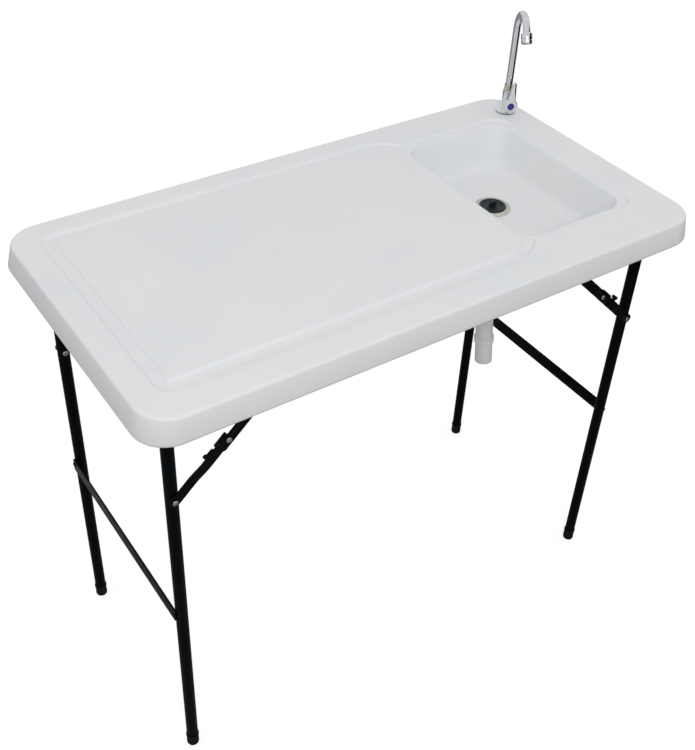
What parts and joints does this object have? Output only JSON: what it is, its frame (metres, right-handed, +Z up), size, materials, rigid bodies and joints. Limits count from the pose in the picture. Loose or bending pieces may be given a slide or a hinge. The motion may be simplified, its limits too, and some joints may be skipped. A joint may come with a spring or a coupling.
{
  "type": "fish cleaning table",
  "caption": "Folding outdoor table with a moulded top, juice groove, sink with drain and swivel faucet, on two folding leg frames with folding braces.",
  "frame": {"origin": "on the floor, under the middle of the top", "axes": "X along the top towards the sink, Y to the back where the faucet stands, Z up"},
  "size_m": [1.15, 0.6, 1.1702],
  "materials": {
    "moulded_top": "fine moulded grain, satin",
    "black_steel": "black powder coat, low sheen",
    "zinc_steel": "zinc plated",
    "black_rubber": "matte",
    "pipe_plastic": "smooth rigid plastic",
    "drain_plastic": "smooth",
    "plug_plastic": "smooth",
    "chrome": "polished",
    "blue_plastic": "polished"
  },
  "bodies": {
    "table": {"tabletop": "moulded_top", "drain_body": "drain_plastic", "drain_gasket": "black_rubber", "drain_nut": "drain_plastic", "slip_nut": "pipe_plastic", "upper_waste_pipe": "pipe_plastic", "lower_waste_pipe": "pipe_plastic", "pipe_collar": "pipe_plastic", "faucet_body": "chrome", "faucet_nut": "zinc_steel", "spout_collar_nut": "chrome", "front_left_pivot_saddle": "black_steel", "front_left_brace_bracket": "black_steel", "front_left_bracket_pin": "zinc_steel", "back_left_pivot_saddle": "black_steel", "back_left_brace_bracket": "black_steel", "back_left_bracket_pin": "zinc_steel", "front_right_pivot_saddle": "black_steel", "front_right_brace_bracket": "black_steel", "front_right_bracket_pin": "zinc_steel", "back_right_pivot_saddle": "black_steel", "back_right_brace_bracket": "black_steel", "back_right_bracket_pin": "zinc_steel"},
    "front_left_upper_brace": {"front_left_upper_link": "black_steel", "front_left_knuckle_rivet": "zinc_steel"},
    "front_left_lower_brace": {"front_left_lower_link": "black_steel"},
    "front_left_catch": {"front_left_lock_catch": "black_steel"},
    "back_left_upper_brace": {"back_left_upper_link": "black_steel", "back_left_knuckle_rivet": "zinc_steel"},
    "back_left_lower_brace": {"back_left_lower_link": "black_steel"},
    "back_left_catch": {"back_left_lock_catch": "black_steel"},
    "left_frame": {"left_leg_frame": "black_steel", "left_cross_strap": "black_steel", "front_left_foot_cap": "black_rubber", "front_left_leg_rivet": "zinc_steel", "back_left_foot_cap": "black_rubber", "back_left_leg_rivet": "zinc_steel"},
    "front_right_upper_brace": {"front_right_upper_link": "black_steel", "front_right_knuckle_rivet": "zinc_steel"},
    "front_right_lower_brace": {"front_right_lower_link": "black_steel"},
    "front_right_catch": {"front_right_lock_catch": "black_steel"},
    "back_right_upper_brace": {"back_right_upper_link": "black_steel", "back_right_knuckle_rivet": "zinc_steel"},
    "back_right_lower_brace": {"back_right_lower_link": "black_steel"},
    "back_right_catch": {"back_right_lock_catch": "black_steel"},
    "right_frame": {"right_leg_frame": "black_steel", "right_cross_strap": "black_steel", "front_right_foot_cap": "black_rubber", "front_right_leg_rivet": "zinc_steel", "back_right_foot_cap": "black_rubber", "back_right_leg_rivet": "zinc_steel"},
    "spout": {"spout": "chrome", "spout_aerator": "chrome"},
    "lever": {"faucet_lever": "chrome", "index_cap": "blue_plastic"},
    "plug": {"drain_plug": "plug_plastic"}
  },
  "joints": [
    {"name": "left_fold", "type": "hinge", "parent": "table", "child": "left_frame", "pos_m": [-0.511, 0, 0.896], "axis": [0, -1, 0], "range_deg": [0, 90]},
    {"name": "front_left_bracket_pivot", "type": "hinge", "parent": "table", "child": "front_left_upper_brace", "pos_m": [-0.30984, -0.235, 0.898], "axis": [0, -1, 0], "range_deg": [-44, 0]},
    {"name": "front_left_knuckle", "type": "hinge", "parent": "front_left_upper_brace", "child": "front_left_lower_brace", "pos_m": [-0.41335, -0.235, 0.79766], "axis": [0, -1, 0], "range_deg": [0, 180]},
    {"name": "front_left_catch_swing", "type": "hinge", "parent": "front_left_lower_brace", "child": "front_left_catch", "pos_m": [-0.4548, -0.235, 0.77864], "axis": [0, -1, 0], "range_deg": [0, 35]},
    {"name": "back_left_bracket_pivot", "type": "hinge", "parent": "table", "child": "back_left_upper_brace", "pos_m": [-0.30984, 0.235, 0.898], "axis": [0, -1, 0], "range_deg": [-44, 0]},
    {"name": "back_left_knuckle", "type": "hinge", "parent": "back_left_upper_brace", "child": "back_left_lower_brace", "pos_m": [-0.41335, 0.235, 0.79766], "axis": [0, -1, 0], "range_deg": [0, 180]},
    {"name": "back_left_catch_swing", "type": "hinge", "parent": "back_left_lower_brace", "child": "back_left_catch", "pos_m": [-0.4548, 0.235, 0.77864], "axis": [0, -1, 0], "range_deg": [0, 35]},
    {"name": "right_fold", "type": "hinge", "parent": "table", "child": "right_frame", "pos_m": [0.511, 0, 0.868], "axis": [0, 1, 0], "range_deg": [0, 90]},
    {"name": "front_right_bracket_pivot", "type": "hinge", "parent": "table", "child": "front_right_upper_brace", "pos_m": [0.30984, -0.235, 0.87], "axis": [0, 1, 0], "range_deg": [-44, 0]},
    {"name": "front_right_knuckle", "type": "hinge", "parent": "front_right_upper_brace", "child": "front_right_lower_brace", "pos_m": [0.41335, -0.235, 0.76966], "axis": [0, 1, 0], "range_deg": [0, 180]},
    {"name": "front_right_catch_swing", "type": "hinge", "parent": "front_right_lower_brace", "child": "front_right_catch", "pos_m": [0.4548, -0.235, 0.75064], "axis": [0, 1, 0], "range_deg": [0, 35]},
    {"name": "back_right_bracket_pivot", "type": "hinge", "parent": "table", "child": "back_right_upper_brace", "pos_m": [0.30984, 0.235, 0.87], "axis": [0, 1, 0], "range_deg": [-44, 0]},
    {"name": "back_right_knuckle", "type": "hinge", "parent": "back_right_upper_brace", "child": "back_right_lower_brace", "pos_m": [0.41335, 0.235, 0.76966], "axis": [0, 1, 0], "range_deg": [0, 180]},
    {"name": "back_right_catch_swing", "type": "hinge", "parent": "back_right_lower_brace", "child": "back_right_catch", "pos_m": [0.4548, 0.235, 0.75064], "axis": [0, 1, 0], "range_deg": [0, 35]},
    {"name": "spout_swivel", "type": "hinge", "parent": "table", "child": "spout", "pos_m": [0.5322, 0.2265, 0.9903], "axis": [0, 0, 1], "range_deg": [-60, 60]},
    {"name": "lever_turn", "type": "hinge", "parent": "table", "child": "lever", "pos_m": [0.52709, 0.21029, 0.9541], "axis": [-0.3007, -0.9537, 0], "range_deg": [0, 90]},
    {"name": "plug_lift", "type": "slide", "parent": "table", "child": "plug", "axis": [0, 0, 1], "range_m": [0, 0.12]}
  ],
  "couplings": [
    {"joint": "front_left_bracket_pivot", "follows": "left_fold", "ratio": -0.48561},
    {"joint": "front_left_knuckle", "follows": "left_fold", "ratio": 1.9909},
    {"joint": "back_left_bracket_pivot", "follows": "left_fold", "ratio": -0.48561},
    {"joint": "back_left_knuckle", "follows": "left_fold", "ratio": 1.9909},
    {"joint": "front_right_bracket_pivot", "follows": "right_fold", "ratio": -0.48561},
    {"joint": "front_right_knuckle", "follows": "right_fold", "ratio": 1.9909},
    {"joint": "back_right_bracket_pivot", "follows": "right_fold", "ratio": -0.48561},
    {"joint": "back_right_knuckle", "follows": "right_fold", "ratio": 1.9909}
  ]
}
